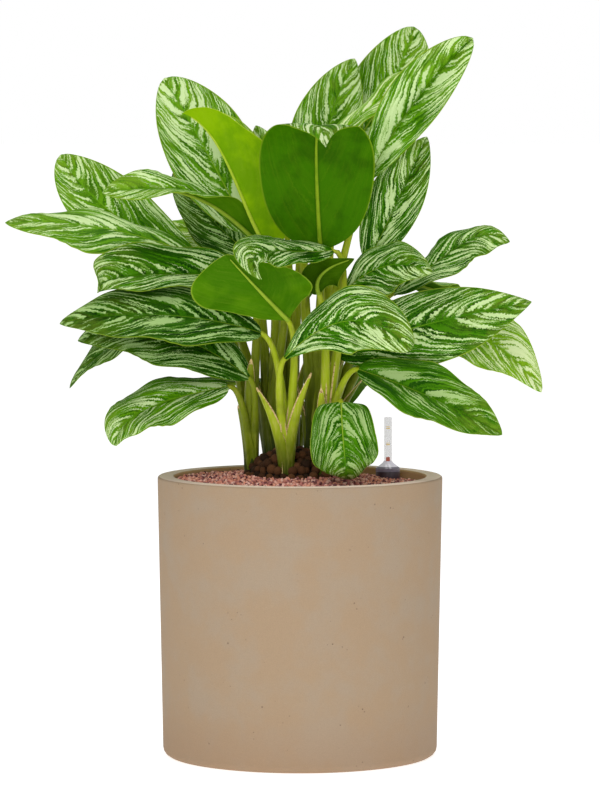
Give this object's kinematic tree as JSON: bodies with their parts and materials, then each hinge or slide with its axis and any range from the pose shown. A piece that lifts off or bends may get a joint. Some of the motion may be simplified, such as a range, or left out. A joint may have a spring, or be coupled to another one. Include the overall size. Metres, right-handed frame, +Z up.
{
  "type": "potted striped chinese evergreen",
  "caption": "Bushy foliage plant with large pointed oval leaves, dark green with pale feathered stripes, in a round sand-coloured stone pot with a water gauge.",
  "frame": {"origin": "centre of the pot's foot on the surface it stands on", "axes": "+Z up along the pot's axis, -Y towards the front of the plant"},
  "size_m": [0.6218, 0.4853, 0.8452],
  "materials": {
    "stone": "matte sand-coloured cast stone",
    "granules": "matte brick-red clay granules",
    "pebbles": "matte dark brown clay pebbles",
    "inner_pot": "black moulded plastic",
    "gauge_dark": "dark moulded plastic",
    "gauge_clear": "clear moulded plastic with yellow level lines",
    "float_red": "red-orange plastic",
    "stalk": "living stalk, yellow-green with a dry beige sheath edge",
    "leaf": "living leaf, satin dark green with pale feathered stripes"
  },
  "bodies": {
    "planter": {"planter_pot": "stone", "granule_bed": "granules", "culture_pot": "inner_pot", "pebble_mound": "pebbles", "gauge_sleeve": "gauge_dark", "gauge_tube": "gauge_clear", "shoot_a": "stalk", "shoot_b": "stalk", "shoot_c": "stalk", "shoot_d": "stalk", "shoot_e": "stalk", "shoot_f": "stalk", "shoot_g": "stalk", "leaf_far_left": "leaf", "leaf_high_left": "leaf", "leaf_folded_left": "leaf", "leaf_cup_left": "leaf", "leaf_broad_left": "leaf", "leaf_under_left": "leaf", "leaf_low_left": "leaf", "leaf_bottom_left": "leaf", "leaf_tall_left": "leaf", "leaf_yellow": "leaf", "leaf_behind_left": "leaf", "leaf_bright_behind": "leaf", "leaf_small_top": "leaf", "leaf_centre_back": "leaf", "leaf_upper_middle": "leaf", "leaf_top": "leaf", "leaf_large_right": "leaf", "leaf_band_right": "leaf", "leaf_vertical_right": "leaf", "leaf_upper_right": "leaf", "leaf_dome_right": "leaf", "leaf_big_right": "leaf", "leaf_front_right": "leaf", "leaf_lower_right": "leaf", "leaf_bottom_right": "leaf", "leaf_heart_front": "leaf", "leaf_small_centre": "leaf", "leaf_dark_centre": "leaf", "leaf_waved_centre": "leaf", "leaf_rear_left": "leaf", "leaf_rear_left_high": "leaf", "leaf_rear_left_low": "leaf", "leaf_rear_middle": "leaf", "leaf_rear_upright": "leaf", "leaf_rear_right": "leaf", "leaf_rear_right_high": "leaf", "leaf_rear_right_low": "leaf"},
    "float": {"gauge_float": "float_red"}
  },
  "joints": [
    {"name": "float_slide", "type": "slide", "parent": "planter", "child": "float", "axis": [0, 0, 1], "range_m": [0, 0.04]}
  ]
}
